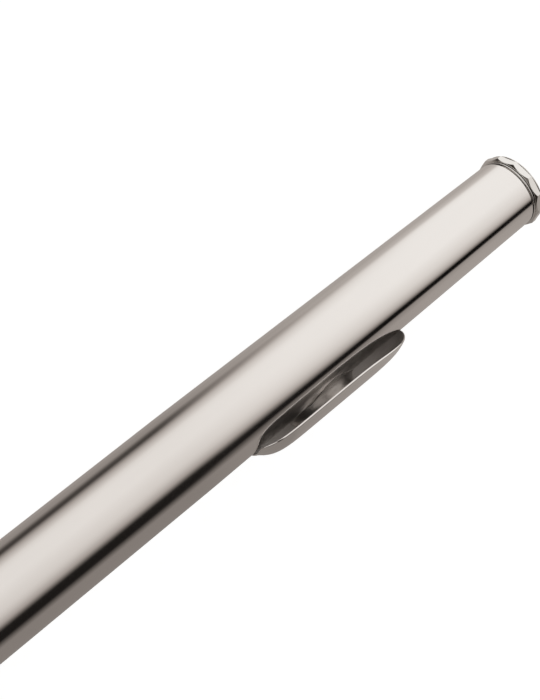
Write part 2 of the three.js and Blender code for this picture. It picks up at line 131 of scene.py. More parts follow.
MAIN_POSTS = [152.2, 229.0, 283.4, 298.2]
TRILL_POSTS = [136.2, 271.6]
THUMB_POSTS = [171.8, 198.2]
G_SHARP_POSTS = [213.2, 228.0]
MAIN_JOINS = [172.0, 192.0, 203.3, MAIN_POSTS[1], 239.3, 252.8, 267.3, MAIN_POSTS[2]]
RIB_SPANS = {
    "main_rib": (station("barrel", 1) + 0.4, 300), "thumb_rib": (169.5, 200.5),
    "g_sharp_rib": (211, 230.2),
}
RIB_DEGREES = {"main_rib": (56, 76), "thumb_rib": (90, 109), "g_sharp_rib": (90, 109)}


# ---- points ----
def place(s, v, w):
    """Points in metres from S, V and W in millimetres."""
    s, v, w = np.broadcast_arrays(s, v, w)
    return np.stack([SHOULDER_X - s * MM, AXIS_Y - v * MM, AXIS_Z + w * MM], axis=-1)


def turned_about(v, w, centre, angle):
    """V and W turned by an angle about a line along the tube, from V towards W."""
    dv, dw = v - centre[0], w - centre[1]
    c, s = math.cos(angle), math.sin(angle)
    return centre[0] + dv * c - dw * s, centre[1] + dv * s + dw * c


def rounded(corners, radius, steps=5, loop=False):
    """A polyline with each corner replaced by a quadratic curve that starts radius before it."""
    points = np.asarray(corners, float)
    count = len(points)
    t = np.linspace(0, 1, steps)[:, None]
    out = []
    for i in range(count):
        if not loop and i in (0, count - 1):
            out.append(points[i : i + 1])
            continue
        here, before, after = points[i], points[i - 1], points[(i + 1) % count]
        reach_in = min(radius, np.linalg.norm(before - here) * 0.45)
        reach_out = min(radius, np.linalg.norm(after - here) * 0.45)
        a = here + (before - here) / np.linalg.norm(before - here) * reach_in
        b = here + (after - here) / np.linalg.norm(after - here) * reach_out
        out.append((1 - t) ** 2 * a + 2 * t * (1 - t) * here + t**2 * b)
    return np.concatenate(out)


def smooth_path(points, count=40):
    """A Catmull-Rom curve through the points, sampled evenly in its parameter."""
    p = np.asarray(points, float)
    p = np.vstack([2 * p[0] - p[1], p, 2 * p[-1] - p[-2]])
    u = np.linspace(0, len(p) - 3 - 1e-9, count)
    i = u.astype(int)
    t = (u - i)[:, None]
    a, b, c, d = p[i], p[i + 1], p[i + 2], p[i + 3]
    cubic = 3 * b - a - 3 * c + d
    square = 2 * a - 5 * b + 4 * c - d
    return 0.5 * (2 * b + (c - a) * t + square * t**2 + cubic * t**3)


# ---- meshes ----
def grid_faces(rows, columns, wrap_rows, wrap_columns):
    """The quads of a grid of points, optionally joined to itself in either direction."""
    i = np.arange(rows if wrap_rows else rows - 1)[:, None]
    j = np.arange(columns if wrap_columns else columns - 1)[None, :]
    down, right = (i + 1) % rows, (j + 1) % columns
    quads = [i * columns + j, down * columns + j, down * columns + right, i * columns + right]
    return np.stack(quads, axis=-1).reshape(-1, 4)


def loop_grid(points):
    """A grid closed round its columns, such as a surface of revolution."""
    rows, columns = points.shape[:2]
    return points.reshape(-1, 3), grid_faces(rows, columns, False, True)


def ring_grid(points):
    """A grid closed both ways, such as a ring."""
    rows, columns = points.shape[:2]
    return points.reshape(-1, 3), grid_faces(rows, columns, True, True)


def make_piece(name, grids, material, sharp_degrees=32):
    """One object from several grids, with doubles merged, faces outward and smooth shading."""
    first, points, faces = 0, [], []
    for grid_points, quads in grids:
        points.append(grid_points)
        faces.append(quads + first)
        first += len(grid_points)
    mesh = bpy.data.meshes.new(name)
    mesh.from_pydata(np.concatenate(points).tolist(), [], np.concatenate(faces).tolist())
    merge_and_face_out(mesh)
    mesh.shade_smooth()
    mesh.set_sharp_from_angle(angle=math.radians(sharp_degrees))
    mesh.materials.append(material)
    piece = bpy.data.objects.new(name, mesh)
    bpy.context.scene.collection.objects.link(piece)
    return piece


def merge_and_face_out(mesh):
    """Merge the doubles of poles and seams, drop empty faces and turn the rest outward."""
    work = bmesh.new()
    work.from_mesh(mesh)
    bmesh.ops.remove_doubles(work, verts=work.verts, dist=1e-7)
    bmesh.ops.dissolve_degenerate(work, edges=work.edges, dist=1e-8)
    bmesh.ops.recalc_face_normals(work, faces=work.faces)
    work.to_mesh(mesh)
    work.free()


def stand_for(node, grids, material, sharp_degrees=32):
    """A fine piece that rides with a CAD node's body and replaces it."""
    piece = make_piece(f"{node}_shape", grids, material, sharp_degrees)
    body = next(name for name, nodes in BODIES.items() if node in nodes)
    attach(piece, body)
    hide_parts(node)
    return piece


def turned(profile, centre=(0, 0), around=96):
    """A profile of [S, radius] carried round a line along the tube through [V, W]."""
    s, radius = np.asarray(profile, float).T
    t = np.linspace(0, 2 * np.pi, around, endpoint=False)
    v = centre[0] + radius[:, None] * np.cos(t)
    w = centre[1] + radius[:, None] * np.sin(t)
    return place(s[:, None] + 0 * v, v, w)


def swept(path, half_width, half_height, corner=4.0, around=28):
    """A flattened bar along a [W, V] path: a superellipse section, half_width along S and
    half_height across the path, both given along the path, with its ends drawn to a point."""
    path = np.asarray(path, float)
    along = np.gradient(path, axis=0)
    along /= np.linalg.norm(along, axis=1)[:, None]
    normal = np.stack([-along[:, 1], along[:, 0]], axis=1)
    t = np.linspace(0, 2 * np.pi, around, endpoint=False)
    c, s = np.cos(t), np.sin(t)
    reach = (np.abs(c) ** corner + np.abs(s) ** corner) ** (-1 / corner)
    across = half_width[:, None] * (c * reach)
    lift = half_height[:, None] * (s * reach)
    lift = lift[:, :, None] * normal[:, None, :]

    def closed(rows, first, last):
        even = np.ones((1, around))
        return np.concatenate([first * even, rows, last * even])

    w, v = (closed(path[:, i, None] + lift[:, :, i], path[0, i], path[-1, i]) for i in (0, 1))
    return closed(across, 0, 0), v, w


# ---- shader maths ----
class Value:
    """A shader socket that arithmetic works on: each operator adds one Math node."""

    def __init__(self, graph, socket):
        self.graph = graph
        self.socket = socket

    def math(self, operation, *others):
        inputs = {i: value for i, value in enumerate((self, *others))}
        return self.graph.add("ShaderNodeMath", {"operation": operation}, inputs)

    def __add__(self, other):
        return self.math("ADD", other)

    def __sub__(self, other):
        return self.math("SUBTRACT", other)

    def __rsub__(self, other):
        return self.graph.add("ShaderNodeMath", {"operation": "SUBTRACT"}, {0: other, 1: self})

    def __mul__(self, other):
        return self.math("MULTIPLY", other)

    __radd__ = __add__
    __rmul__ = __mul__


class Graph:
    """A node tree under construction. add() makes any node and gives back its first output."""

    def __init__(self, tree):
        self.tree = tree
        tree.nodes.clear()

    def node(self, kind, settings=None, inputs=None):
        node = self.tree.nodes.new(kind)
        for key, value in (settings or {}).items():
            if key == "stops":
                self.set_stops(node.color_ramp, value)
            else:
                setattr(node, key, value)
        for key, value in (inputs or {}).items():
            if isinstance(value, Value):
                self.tree.links.new(value.socket, node.inputs[key])
            else:
                node.inputs[key].default_value = value
        return node

    def add(self, kind, settings=None, inputs=None, output=0):
        return Value(self, self.node(kind, settings, inputs).outputs[output])

    @staticmethod
    def set_stops(ramp, stops):
        for position, _ in stops[1:-1]:
            ramp.elements.new(position)
        for element, (_, level) in zip(ramp.elements, stops):
            element.color = (*level, 1)

    def coordinates(self, scale):
        """Object coordinates multiplied by a scale for each axis, in cycles a metre."""
        spot = self.add("ShaderNodeTexCoord", output="Object")
        return self.add("ShaderNodeMapping", None, {"Vector": spot, "Scale": scale})

    def noise(self, scale, detail=3.0, roughness=0.5):
        inputs = {
            "Vector": self.coordinates(scale), "Scale": 1.0, "Detail": detail, "Roughness": roughness,
        }
        return self.add("ShaderNodeTexNoise", None, inputs)

    def ramp(self, value, low, high):
        settings = {"clamp": True}
        return self.add("ShaderNodeMapRange", settings, {0: value, 1: low, 2: high})

    def mix(self, factor, first, second):
        settings = {"data_type": "RGBA"}
        return self.add("ShaderNodeMix", settings, {0: factor, 6: first, 7: second}, output=2)

    def product(self, first, second):
        settings = {"data_type": "RGBA", "blend_type": "MULTIPLY"}
        return self.add("ShaderNodeMix", settings, {0: 1.0, 6: first, 7: second}, output=2)

    def bump(self, height, strength, distance):
        inputs = {"Height": height, "Strength": strength, "Distance": distance}
        return self.add("ShaderNodeBump", None, inputs)


def new_material(name, build, **sockets):
    """A material whose Principled shader takes its varying sockets from build(graph)."""
    material = bpy.data.materials.new(name)
    material.use_nodes = True
    graph = Graph(material.node_tree)
    shader = graph.node("ShaderNodeBsdfPrincipled", None, {**sockets, **build(graph)})
    graph.node("ShaderNodeOutputMaterial", None, {"Surface": Value(graph, shader.outputs[0])})
    return material


def colour(rgb, factor=1.0):
    return tuple(channel * factor for channel in rgb) + (1,)


def satin_silver(finish):
    """Silver plate brushed along the tube: long fine streaks, soft cloudy wear."""

    def build(graph):
        streak = graph.noise((60, 9000, 9000), detail=4)
        fine = graph.noise((900, 26000, 26000), detail=2)
        cloud = graph.noise((45, 160, 160), detail=4)
        grain = streak * 0.6 + fine * 0.4
        wear = graph.ramp(cloud, 0.3, 0.75)
        base = graph.mix(wear, colour(finish.satin, 0.965), colour(finish.satin))
        rough = grain * 0.10 + cloud * 0.05 + (finish.satin_roughness - 0.075)
        return {"Base Color": base, "Roughness": rough, "Normal": graph.bump(grain, 0.10, 0.000002)}

    return new_material("satin silver plate", build, Metallic=1.0)


def shaded_underside_silver(finish):
    """The unpolished underside of the lip plate: rough silver, darkened in cloudy patches as painted
    shade for the hollow under the plate.
    """

    def build(graph):
        cloud = graph.noise((220, 320, 320), detail=5)
        lines = graph.noise((300, 5000, 5000), detail=3)
        shade_patches = graph.ramp(cloud, 0.3, 0.7)
        # painted shade: the base colour is only 0.55 to 0.75 of the satin silver, darker in patches
        # where the cloud is low
        base = graph.mix(shade_patches, colour(finish.satin, 0.55), colour(finish.satin, 0.75))
        rough = lines * 0.1 + cloud * 0.1 + 0.34
        return {"Base Color": base, "Roughness": rough, "Normal": graph.bump(lines, 0.2, 0.000004)}

    return new_material("dull silver with painted shade", build, Metallic=1.0)


def polished_silver(finish):
    """Polished silver plate: a near mirror with faint smears and hairline scratches."""

    def build(graph):
        smear = graph.noise((140, 170, 150), detail=5)
        scratch = graph.noise((1500, 11000, 7000), detail=3)
        line = graph.ramp(scratch, 0.60, 0.66)
        film = graph.ramp(smear, 0.35, 0.7)
        base = graph.mix(film, colour(finish.polished, 0.96), colour(finish.polished))
        rough = graph.ramp(smear, 0.4, 0.8) * 0.05 + line * 0.05 + finish.polished_roughness
        return {"Base Color": base, "Roughness": rough, "Normal": graph.bump(line, 0.05, 0.00001)}

    return new_material("polished silver plate", build, Metallic=1.0)


def drawn_steel(finish):
    """Bright steel rod with drawing lines along it."""

    def build(graph):
        lines = graph.noise((120, 14000, 14000), detail=3)
        base = graph.mix(lines, colour(finish.steel, 0.85), colour(finish.steel))
        rough = lines * 0.15 + 0.2
        return {"Base Color": base, "Roughness": rough, "Normal": graph.bump(lines, 0.1, 0.00001)}

    return new_material("drawn steel rod", build, Metallic=1.0)


def natural_cork(finish):
    """Cork: pale brown cells with darker pits."""

    def build(graph):
        spot = graph.coordinates((1, 1, 1))
        cells = graph.add("ShaderNodeTexVoronoi", None, {"Vector": spot, "Scale": 2600.0})
        pits = graph.ramp(graph.noise((900, 700, 700), detail=5), 0.56, 0.68)
        base = graph.mix(pits, colour(finish.cork), colour(finish.cork, 0.35))
        bumps = graph.bump(cells * 0.4 - pits, 0.6, 0.0001)
        return {"Base Color": base, "Roughness": 0.8 + pits * 0.1, "Normal": bumps}

    return new_material("natural cork", build, Metallic=0.0)


def pad_skin(finish):
    """Tan bladder skin stretched over felt, with fine wrinkles and fibres."""

    def build(graph):
        wrinkle = graph.noise((1800, 1800, 1800), detail=6, roughness=0.6)
        tone = graph.noise((350, 350, 350), detail=3)
        base = graph.mix(graph.ramp(tone, 0.3, 0.7), colour(finish.pad, 0.8), colour(finish.pad))
        rough = wrinkle * 0.25 + 0.35
        return {"Base Color": base, "Roughness": rough, "Normal": graph.bump(wrinkle, 0.35, 0.00008)}

    return new_material("skin over felt", build, Metallic=0.0)


# The materials made so far, by slot.
made = {}


def material_for(node, finish):
    """The shared material of a node's slot, made the first time that it is asked for."""
    makers = {
        "satin_silver": satin_silver,
        "polished_silver": polished_silver,
        "steel": drawn_steel,
        "cork": natural_cork,
        "pad_skin": pad_skin,
    }
    slot = SLOTS[node]
    if slot not in made:
        made[slot] = makers[slot](finish)
    return made[slot]


def fit(node, grids, sharp_degrees=32):
    """Stand a fine piece for a node, in its slot's material."""
    return stand_for(node, grids, material_for(node, bpy.context.scene.piccolo_finish), sharp_degrees)


# ---- tubes with holes ----
def head_radius(s):
    """The head tube's outside: an even taper from the crown, then straight."""
    return CROWN_RADIUS + (TUBE_RADIUS - CROWN_RADIUS) * np.minimum(s / TAPER_LENGTH, 1)


class TubeHole:
    """A hole in a tube's wall, with the block of grid round it: half_s along the tube, and the
    turn of its middle from V towards W. rim is None for a plain hole or the chimney's height."""

    def __init__(self, s, half_length, half_width, half_s, turn=0.0, rim=None):
        self.s, self.half_length, self.half_width = s, half_length, half_width
        self.half_s, self.turn, self.rim = half_s, turn, rim


# The block of grid that stands round each hole, and the flare at a chimney's foot.
BLOCK_HALF_ANGLE = math.radians(48.75)
BLOCK_CELLS = 26
BLOCK_ROWS = 14
FLARE = 0.7


def angle_lines():
    """Angles round the tube, with one block of lines at the front and one at the back."""
    half, back = BLOCK_HALF_ANGLE, BACK_TURN
    front = np.linspace(-half, half, BLOCK_CELLS, endpoint=False)
    side = np.linspace(half, back - half, 16, endpoint=False)
    rear = np.linspace(back - half, back + half, BLOCK_CELLS, endpoint=False)
    rest = np.linspace(back + half, 2 * np.pi - half, 28, endpoint=False)
    return np.concatenate([front, side, rear, rest])


def station_lines(start, end, holes, step=4.0):
    """Stations along the tube: each hole's block has its own rows, and gaps are filled evenly."""
    edges = sorted((h.s - h.half_s, h.s + h.half_s) for h in holes if not h.turn)
    edges += [(h.s - h.half_s, h.s + h.half_s) for h in holes if h.turn]
    lines = {round(start, 4), round(end, 4)}
    for low, high in edges:
        lines |= {round(x, 4) for x in np.linspace(low, high, BLOCK_ROWS + 1)}
    lines = sorted(lines)
    gaps = zip(lines, lines[1:])
    extra = [np.linspace(a, b, int((b - a) // step) + 2)[1:-1] for a, b in gaps if b - a > step]
    return np.unique(np.concatenate([lines, *extra]).round(4))


def skin(start, end, holes, radius_at):
    """A tube's skin as the grid of its stations and angles, without the holes' blocks."""
    stations, angles = station_lines(start, end, holes), angle_lines()
    s = stations[:, None]
    radius = radius_at(s)
    points = place(s, radius * np.cos(angles), radius * np.sin(angles))
    quads = grid_faces(len(stations), len(angles), False, True)
    keep = np.ones(len(quads), bool)
    middle_s = np.repeat((stations[1:] + stations[:-1]) / 2, len(angles))
    step = np.diff(np.append(angles, angles[0] + 2 * np.pi))
    middle_t = np.tile(angles + step / 2, len(stations) - 1)
    for hole in holes:
        off = (middle_t - hole.turn + np.pi) % (2 * np.pi) - np.pi
        keep &= ~((np.abs(middle_s - hole.s) < hole.half_s) & (np.abs(off) < BLOCK_HALF_ANGLE))
    return points.reshape(-1, 3), quads[keep]


def block_border(hole, stations):
    """The points round a hole's block, as S and angle, in order."""
    rows = stations[np.abs(stations - hole.s) < hole.half_s + 1e-3]
    half = BLOCK_HALF_ANGLE
    turn = np.linspace(-half, half, BLOCK_CELLS + 1)
    low, high = np.full(BLOCK_CELLS, rows[0]), np.full(BLOCK_CELLS, rows[-1])
    near, far = np.full(len(rows) - 1, -half), np.full(len(rows) - 1, half)
    s = np.concatenate([rows[:-1], high, rows[:0:-1], low])
    t = np.concatenate([near, turn[:-1], far, turn[:0:-1]])
    return s, t


def hole_patch(hole, stations, radius_at, rows=7):
    """The skin between a block's border and the hole: in S and angle, each row lies a share of
    the way from the border to the oval."""
    s, t = block_border(hole, stations)
    spoke = np.arctan2(t / BLOCK_HALF_ANGLE, (s - hole.s) / hole.half_s)
    grow = 1.0 if hole.rim is None else 1 + (CHIMNEY_WALL + FLARE) / hole.half_length
    oval_s = hole.s + hole.half_length * grow * np.cos(spoke)
    oval_w = hole.half_width * grow * np.sin(spoke)
    oval_t = np.arcsin(oval_w / radius_at(oval_s))
    k = np.linspace(1, 0, rows)[:, None]
    row_s, row_t = oval_s + (s - oval_s) * k, oval_t + (t - oval_t) * k
    radius = radius_at(row_s)
    return row_s, radius * np.cos(row_t), radius * np.sin(row_t), spoke


def chimney_rows(hole, spoke, outside, inside):
    """A drawn tone hole: a fillet up from the tube, the wall, a rolled rim and the bore's wall."""
    outer, inner = hole.half_length + CHIMNEY_WALL, hole.half_length
    foot = outer + FLARE

    def surface(radius, rho):
        return np.sqrt(radius**2 - (rho * np.sin(spoke)) ** 2)

    t = np.linspace(0, 1, 7)[1:, None]
    start, corner = surface(outside, foot), surface(outside, outer)
    rho = [(1 - t) ** 2 * foot + 2 * t * (1 - t) * outer + t**2 * outer + 0 * spoke]
    height = [(1 - t) ** 2 * start + 2 * t * (1 - t) * corner + t**2 * (corner + 0.55)]
    roll = np.linspace(0, np.pi, 9)[:, None]
    middle, half = (outer + inner) / 2, CHIMNEY_WALL / 2
    rho.append(middle + half * np.cos(roll) + 0 * spoke)
    height.append(hole.rim - half + half * np.sin(roll) + 0 * spoke)
    rho.append(inner + 0 * spoke[None])
    height.append(surface(inside, inner)[None])
    rho, height = np.concatenate(rho), np.concatenate(height)
    return hole.s + rho * np.cos(spoke), height, rho * np.sin(spoke)


def holed_tube(start, end, holes, radius_at):
    """A tube with a wall, closed at both ends, with its holes and chimneys."""

    def bore_at(s):
        return radius_at(s) - WALL

    stations = station_lines(start, end, holes)
    grids = [skin(start, end, holes, radius_at), skin(start, end, holes, bore_at)]
    angles = angle_lines()
    for s in (start, end):
        radius = np.linspace(radius_at(s) - WALL, radius_at(s), 2)[:, None]
        grids.append(loop_grid(place(s, radius * np.cos(angles), radius * np.sin(angles))))
    for hole in holes:
        s, v, w, spoke = hole_patch(hole, stations, radius_at)
        if hole.rim is not None:
            up = chimney_rows(hole, spoke, TUBE_RADIUS, TUBE_RADIUS - WALL)
            s, v, w = (np.concatenate(pair) for pair in zip((s, v, w), up))
        plain = TubeHole(hole.s, hole.half_length, hole.half_width, hole.half_s)
        bore_s, bore_v, bore_w, _ = hole_patch(plain, stations, bore_at)
        if hole.rim is None:
            inside = (bore_s, bore_v, bore_w)
            s, v, w = (np.concatenate([a, b[-1:]]) for a, b in zip((s, v, w), inside))
        for patch in ((s, v, w), (bore_s, bore_v, bore_w)):
            v, w = turned_about(patch[1], patch[2], (0, 0), hole.turn)
            grids.append(loop_grid(place(patch[0], v, w)))
    return grids


# ---- the head joint ----
def plate_under(along):
    """Radius of the lip plate's underside: level, dropping to the tube by a power of the way
    to the crown end or the foot end."""
    reach = np.where(along > 0, PLATE_CROWN_REACH, PLATE_FOOT_REACH)
    drop = np.abs(along / reach) ** np.where(along > 0, PLATE_CROWN_DROP, PLATE_FOOT_DROP)
    level = PLATE_RADIUS - (PLATE_RADIUS - PLATE_TIP_RADIUS) * drop - PLATE_THICKNESS
    return np.maximum(level, head_radius(EMBOUCHURE_S - along) + PLATE_CLEAR)


def oval_point(spoke, half_length, half_width):
    """The point of an oval at an angle, along the tube and across it."""
    return half_length * np.cos(spoke), half_width * np.sin(spoke)


def lip_plate_grid(hole_length, hole_width, spokes=288, rows=20):
    """The plate as one closed grid: round it by direction, and across it from the hole's edge
    over the top, round the rim and back along the underside. Directions are points of a
    superellipse outline, and height is the plate's radius from the tube axis."""
    spoke = np.linspace(0, 2 * np.pi, spokes, endpoint=False)
    c, s = np.cos(spoke), np.sin(spoke)
    power = np.where(c > 0, PLATE_CROWN_OUTLINE, PLATE_FOOT_OUTLINE)
    outline = (np.abs(c) ** power + np.abs(s) ** power) ** (-1 / power)
    edge_along = np.where(c > 0, PLATE_CROWN_REACH, PLATE_FOOT_REACH) * c * outline
    edge_angle = PLATE_HALF_ANGLE * s * outline
    hole_along, hole_w = oval_point(spoke, hole_length, hole_width)
    hole_angle = np.arcsin(hole_w / PLATE_RADIUS)
    half, bevel = PLATE_THICKNESS / 2, 0.1
    roll = np.linspace(0, np.pi, 9)[1:-1]
    out = np.linspace(0, 1, rows)
    edge_inset = half / PLATE_FOOT_REACH
    blow_inset = 0.12 / (PLATE_FOOT_REACH - hole_length)
    across = np.concatenate([
        blow_inset + (1 - edge_inset - blow_inset) * out,
        1 - edge_inset + edge_inset * np.sin(roll),
        (1 - edge_inset) - (1 - edge_inset - blow_inset) * out,
        [0, 0],
    ])[:, None]
    lift = np.concatenate([
        np.full(rows, half), half * np.cos(roll), np.full(rows, -half), [bevel - half, half - bevel],
    ])[:, None]
    along = hole_along + (edge_along - hole_along) * across
    angle = hole_angle + (edge_angle - hole_angle) * across
    thin = 1 - 0.45 * np.clip((across - 0.7) / 0.3, 0, 1) ** 2
    radius = plate_under(along) + half + lift * thin
    return ring_grid(place(EMBOUCHURE_S - along, radius * np.cos(angle), radius * np.sin(angle)))


def riser_grid(hole_length, hole_width, wall=1.1, spokes=144):
    """The wall from tube to plate: an oval ring whose foot follows the tube, whose top follows
    the plate's underside, and whose outside is drawn in at its waist."""
    spoke = np.linspace(0, 2 * np.pi, spokes, endpoint=False)
    rise = np.linspace(0, 1, 12)[:, None]
    waist = 0.45 * np.sin(np.pi * rise)
    widths = np.concatenate([wall - waist, np.zeros((2, 1))])
    rise = np.concatenate([rise, [[1.0], [0.0]]])
    along, w = oval_point(spoke, hole_length + widths, hole_width + widths)
    foot = np.sqrt((head_radius(EMBOUCHURE_S - along) + 0.02) ** 2 - w**2)
    top = np.sqrt((PLATE_RADIUS - PLATE_THICKNESS - 0.02) ** 2 - w**2)
    return ring_grid(place(EMBOUCHURE_S - along, foot + (top - foot) * rise, w))


def crown_grid(around=FACETS * 24):
    """The crown: a turned profile whose radius is cut back to twelve flats, so that each flat
    meets the cone beside the tube in an arch."""
    screw = SCREW_RADIUS + 0.15
    bore = CROWN_RADIUS - WALL - 0.1
    inner = rounded([(0.3, 0), (0.3, screw), (8, screw), (8, bore), (-0.03, bore)], 0.05)
    bead_t = np.linspace(-0.6 * np.pi, 0.6 * np.pi, 14)
    bead = np.stack([-0.36 - 0.14 * np.sin(bead_t), 5.52 + 0.19 * np.cos(bead_t)], axis=1)
    grooves = [[(-0.2, 5.0)], bead, [(-0.5, 5.2), (-0.56, 5.2)]]
    cone = np.stack([np.linspace(-0.58, -1.4, 30), np.linspace(5.84, 6.32, 30)], axis=1)
    rim = rounded(
        [(-1.66, 6.32), (-1.69, 5.5), (-1.84, 5.5), (-1.87, 5.84), (-2.04, 5.8), (-2.24, 5.3)], 0.06,
    )
    t = np.linspace(0.08, 1, 16) * np.pi / 2
    dome = np.stack([-2.22 - 0.78 * np.sin(t), 5.3 * np.cos(t)], axis=1)
    s, radius = np.concatenate([inner, *grooves, cone, rim, dome]).T
    turn = np.linspace(0, 2 * np.pi, around, endpoint=False)
    corner = 2 * np.pi / FACETS
    within = turn % corner - corner / 2
    flat = CROWN_CORNER * math.cos(corner / 2) / np.cos(within)
    radius = np.minimum(radius[:, None], flat)
    return loop_grid(place(s[:, None], radius * np.cos(turn), radius * np.sin(turn)))


def line_inside(piece, material):
    """Give the faces that look towards the tube's axis a material of their own, whose darker colour is
    painted shade.
    """
    mesh = piece.data
    middles, normals = np.empty((2, len(mesh.polygons), 3))
    mesh.polygons.foreach_get("center", middles.ravel())
    mesh.polygons.foreach_get("normal", normals.ravel())
    out = (middles - [0, AXIS_Y, AXIS_Z]) * [0, 1, 1]
    inward = (normals * out).sum(axis=1) < -0.35 * np.linalg.norm(out, axis=1)
    mesh.materials.append(material)
    mesh.polygons.foreach_set("material_index", inward.astype(np.int32))


class HeadSettings(bpy.types.PropertyGroup):
    hole_length: FloatProperty(
        name="Hole half length", description="Embouchure hole, from its middle along the tube",
        unit="LENGTH", precision=5, default=5.0 * MM, min=4.0 * MM, max=6.0 * MM,
    )
    hole_width: FloatProperty(
        name="Hole half width", description="Embouchure hole, from its middle across the tube",
        unit="LENGTH", precision=5, default=4.3 * MM, min=3.5 * MM, max=5.0 * MM,
    )


def hole_size(context):
    """The embouchure hole's half length and half width."""
    size = context.scene.piccolo_head
    return size.hole_length / MM, size.hole_width / MM


class PICCOLO_OT_head_tube(bpy.types.Operator):
    """Make the tapered head tube with its embouchure hole"""

    bl_idname = "piccolo.head_tube"
    bl_label = "Head tube"

    def execute(self, context):
        hole = TubeHole(EMBOUCHURE_S, *hole_size(context), 7.0)
        fit("head_tube", holed_tube(0.0, TENON_END, [hole], head_radius))
        return {"FINISHED"}


class PICCOLO_OT_lip_plate(bpy.types.Operator):
    """Make the lip plate and the riser under it"""

    bl_idname = "piccolo.lip_plate"
    bl_label = "Lip plate and riser"

    def execute(self, context):
        plate = fit("lip_plate", [lip_plate_grid(*hole_size(context))], 50)
        # the plate's underside gets darker silver as painted shade for the hollow between plate and tube
        line_inside(plate, shaded_underside_silver(context.scene.piccolo_finish))
        fit("riser", [riser_grid(*hole_size(context))])
        return {"FINISHED"}


class PICCOLO_OT_crown(bpy.types.Operator):
    """Make the twelve-sided crown"""

    bl_idname = "piccolo.crown"
    bl_label = "Crown"

    def execute(self, context):
        fit("crown", [crown_grid()], 14)
        return {"FINISHED"}


def ring_profile(start, end, inner, outer, radius=0.1):
    """The rounded section of a plain ring, as [S, radius]."""
    return rounded([(start, inner), (start, outer), (end, outer), (end, inner)], radius, loop=True)


class PICCOLO_OT_cork(bpy.types.Operator):
    """Make the cork, its screw with the reflector plate, and its nut"""

    bl_idname = "piccolo.cork"
    bl_label = "Cork assembly"

    def execute(self, context):
        hole = SCREW_RADIUS + 0.02
        top, foot = station("head_cork", 0), station("head_cork", 1)
        fit("head_cork", [ring_grid(turned(ring_profile(top, foot, hole, 5.2, 0.4)))])
        top, foot = station("cork_nut", 0), station("cork_nut", 1)
        fit("cork_nut", [ring_grid(turned(ring_profile(top, foot, hole, 4.6)))])
        tip, face = station("cork_screw", 0), station("cork_screw", 1)
        back, disc, rod = face - 0.6, 5.2, SCREW_RADIUS
        screw = [(face, 0), (face, disc), (back, disc), (back, rod), (tip, rod), (tip, 0)]
        fit("cork_screw", [loop_grid(turned(rounded(screw, 0.15)))])
        return {"FINISHED"}


# ---- the body ----
MAIN_KEYS = ["c", "b_flat", "a", "g", "f_sharp", "f", "e", "d"]


def pad_nodes(name):
    """The pads of a key, which ride on its body."""
    return [node for node in BODIES[f"{name}_key"] if "_pad" in node]


def tone_holes():
    """Every tone hole, at the stations of the pads that close it."""
    holes = []
    for name in [*MAIN_KEYS, "d_sharp", "d_trill", "d_sharp_trill", "thumb_b", "g_sharp"]:
        for node in pad_nodes(name):
            low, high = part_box(node)
            small = (high.x - low.x) / MM < 2 * SMALL_CUP
            radius = SMALL_HOLE if small else LARGE_HOLE
            reach = 3.5 if small else 4.9
            turn = BACK_TURN if name in ("thumb_b", "g_sharp") else 0.0
            holes.append(TubeHole(station(node, 0.5), radius, radius, reach, turn, RIM_HEIGHT))
    return holes


class PICCOLO_OT_body(bpy.types.Operator):
    """Make the body tube with its tone holes, the barrel and the foot ring"""

    bl_idname = "piccolo.body"
    bl_label = "Body, barrel and foot ring"

    def execute(self, context):
        fit("body_tube", holed_tube(BODY_START, BODY_END, tone_holes(), lambda s: TUBE_RADIUS + 0 * s))
        start, end = station("barrel", 0), station("barrel", 1)
        inner, outer, bead = TUBE_RADIUS + 0.1, 7.0, 7.6
        barrel = rounded(
            [
                (start, inner), (start, outer), (start + 0.5, bead), (start + 2.1, bead),
                (start + 2.6, outer), (start + 9.4, outer), (start + 9.6, outer - 0.1),
                (start + 9.8, outer), (end - 3.2, outer), (end - 3.0, outer - 0.15),
                (end - 2.8, outer), (end, outer), (end, inner),
            ],
            0.3, loop=True,
        )
        fit("barrel", [ring_grid(turned(barrel, around=128))])
        start, end = station("foot_ring", 0), station("foot_ring", 1)
        inner, outer, bead = TUBE_RADIUS + 0.05, 6.7, 7.1
        ring = rounded(
            [
                (start, inner), (start, outer), (end - 1.9, outer), (end - 1.5, bead), (end, bead),
                (end, inner),
            ],
            0.25, loop=True,
        )
        fit("foot_ring", [ring_grid(turned(ring, around=128))])
        return {"FINISHED"}


def strap_grid(start, end, degrees):
    """A strap on the tube: a rounded section of angle and radius, drawn in at both ends by a
    quarter circle."""
    low, high = np.radians(degrees)
    middle, half = (low + high) / 2, (high - low) / 2
    inner, outer = TUBE_RADIUS + 0.02, TUBE_RADIUS + 0.65
    width = half * outer
    corners = [(-width, inner), (-width, outer), (width, outer), (width, inner)]
    section = rounded(corners, 0.2, loop=True)
    ease = np.linspace(0, 1, 10)[1:]
    rise = np.sqrt(1 - (1 - ease) ** 2)
    s = np.concatenate([[start], start + width * ease, end - width * ease[::-1], [end]])
    squeeze = np.concatenate([[0.02], rise, rise[::-1], [0.02]])
    angle = middle + section[:, 0] / outer * squeeze[:, None]
    radius = section[:, 1] + 0 * angle
    return loop_grid(place(s[:, None], radius * np.cos(angle), radius * np.sin(angle)))


